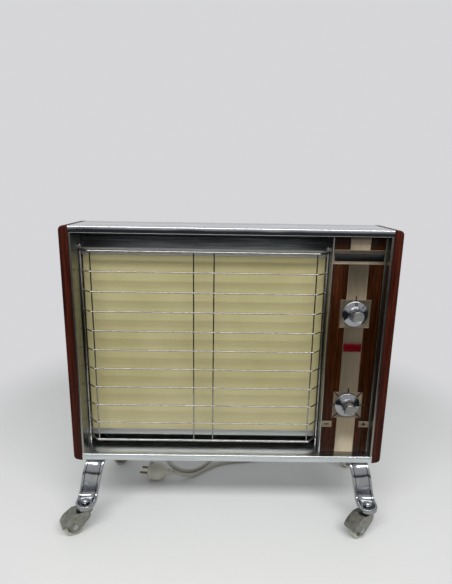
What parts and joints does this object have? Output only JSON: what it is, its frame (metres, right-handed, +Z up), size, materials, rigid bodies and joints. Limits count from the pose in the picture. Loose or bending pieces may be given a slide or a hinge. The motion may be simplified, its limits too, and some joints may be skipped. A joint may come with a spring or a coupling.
{
  "type": "electric radiator",
  "caption": "Portable electric radiator: enamelled radiant panel behind a wire grille in a polished casing with wooden side boards, control panel and hooded swivel casters.",
  "frame": {"origin": "on the floor, midway between the four caster stems", "axes": "+Z up, the front with the grille faces -Y, +X to the viewer's right when looking at the front"},
  "size_m": [0.6266, 0.377, 0.5721],
  "materials": {
    "teak": "satin lacquered hardwood veneer",
    "polished_steel": "mirror-polished stainless sheet",
    "cream_enamel": "gloss vitreous enamel",
    "satin_steel": "satin zinc-plated steel",
    "dark_steel": "polished sheet, in shade",
    "chrome_wire": "bright chrome-plated wire",
    "reflector_aluminium": "bright rolled",
    "element_steel": "heat-tinted sheath",
    "ceramic": "unglazed ceramic",
    "wood_grain_laminate": "satin wood-grain foil on steel",
    "satin_champagne": "satin champagne anodised",
    "black_plastic": "gloss",
    "red_lens": "clear red acrylic",
    "brass": "nickelled brass",
    "knob_chrome": "bright metallised",
    "grey_paint": "satin grey stove enamel",
    "screw_steel": "zinc plated",
    "ivory_pvc": "matt flexible PVC",
    "leg_chrome": "bright chrome-plated pressing",
    "fork_grey": "zinc-grey stove enamel",
    "ivory_plug": "moulded",
    "nylon": "moulded nylon"
  },
  "bodies": {
    "casing": {"side_board_left": "teak", "side_board_right": "teak", "top_cover": "polished_steel", "base_tray": "polished_steel", "side_frame_left": "polished_steel", "side_frame_right": "polished_steel", "radiant_panel": "cream_enamel", "panel_rail_top": "satin_steel", "panel_rail_bottom": "satin_steel", "deflector": "dark_steel", "grille": "chrome_wire", "grille_clips": "satin_steel", "heat_reflector": "reflector_aluminium", "heating_elements": "element_steel", "element_brackets": "satin_steel", "thermal_cutout": "ceramic", "control_box": "polished_steel", "fascia": "wood_grain_laminate", "fascia_trim": "satin_champagne", "badge_bar": "black_plastic", "fascia_tags": "satin_champagne", "indicator_lens": "red_lens", "neon_lamp": "ceramic", "power_switch": "black_plastic", "thermostat": "ceramic", "terminal_block": "ceramic", "back_cover": "grey_paint", "cover_screws": "screw_steel", "cord_gland": "ivory_pvc", "leg_front_left": "leg_chrome", "leg_front_right": "leg_chrome", "leg_rear_left": "leg_chrome", "leg_rear_right": "leg_chrome", "leg_screws": "screw_steel", "mains_lead_rear": "ivory_pvc", "cord_coil": "ivory_pvc", "mains_lead_front": "ivory_pvc", "plug_body": "ivory_plug", "plug_pins": "brass", "cord_tie": "black_plastic", "caster_stem_front_left": "screw_steel", "caster_stem_front_right": "screw_steel", "caster_stem_rear_left": "screw_steel", "caster_stem_rear_right": "screw_steel"},
    "switch_dial": {"power_knob": "knob_chrome", "power_shaft": "brass"},
    "thermostat_dial": {"thermostat_knob": "knob_chrome", "thermostat_shaft": "brass"},
    "swivel_front_left": {"caster_fork_front_left": "fork_grey", "caster_axle_front_left": "screw_steel"},
    "wheel_front_left": {"caster_wheel_front_left": "nylon"},
    "swivel_front_right": {"caster_fork_front_right": "fork_grey", "caster_axle_front_right": "screw_steel"},
    "wheel_front_right": {"caster_wheel_front_right": "nylon"},
    "swivel_rear_left": {"caster_fork_rear_left": "fork_grey", "caster_axle_rear_left": "screw_steel"},
    "wheel_rear_left": {"caster_wheel_rear_left": "nylon"},
    "swivel_rear_right": {"caster_fork_rear_right": "fork_grey", "caster_axle_rear_right": "screw_steel"},
    "wheel_rear_right": {"caster_wheel_rear_right": "nylon"}
  },
  "joints": [
    {"name": "switch_turn", "type": "hinge", "parent": "casing", "child": "switch_dial", "pos_m": [0.2242, -0.0556, 0.4208], "axis": [0, -1, 0], "range_deg": [0, 135]},
    {"name": "thermostat_turn", "type": "hinge", "parent": "casing", "child": "thermostat_dial", "pos_m": [0.2242, -0.0556, 0.2425], "axis": [0, 1, 0], "range_deg": [0, 270]},
    {"name": "swivel_front_left", "type": "hinge", "parent": "casing", "child": "swivel_front_left", "pos_m": [-0.267, -0.0955, 0.045], "axis": [0, 0, 1], "continuous": true},
    {"name": "roll_front_left", "type": "hinge", "parent": "swivel_front_left", "child": "wheel_front_left", "pos_m": [-0.28651, -0.10769, 0.019], "axis": [0.5299, -0.848, 0], "continuous": true},
    {"name": "swivel_front_right", "type": "hinge", "parent": "casing", "child": "swivel_front_right", "pos_m": [0.267, -0.0955, 0.045], "axis": [0, 0, 1], "continuous": true},
    {"name": "roll_front_right", "type": "hinge", "parent": "swivel_front_right", "child": "wheel_front_right", "pos_m": [0.24749, -0.10769, 0.019], "axis": [0.5299, -0.848, 0], "continuous": true},
    {"name": "swivel_rear_left", "type": "hinge", "parent": "casing", "child": "swivel_rear_left", "pos_m": [-0.267, 0.0955, 0.045], "axis": [0, 0, 1], "continuous": true},
    {"name": "roll_rear_left", "type": "hinge", "parent": "swivel_rear_left", "child": "wheel_rear_left", "pos_m": [-0.24749, 0.10769, 0.019], "axis": [-0.5299, 0.848, 0], "continuous": true},
    {"name": "swivel_rear_right", "type": "hinge", "parent": "casing", "child": "swivel_rear_right", "pos_m": [0.267, 0.0955, 0.045], "axis": [0, 0, 1], "continuous": true},
    {"name": "roll_rear_right", "type": "hinge", "parent": "swivel_rear_right", "child": "wheel_rear_right", "pos_m": [0.28651, 0.10769, 0.019], "axis": [-0.5299, 0.848, 0], "continuous": true}
  ]
}
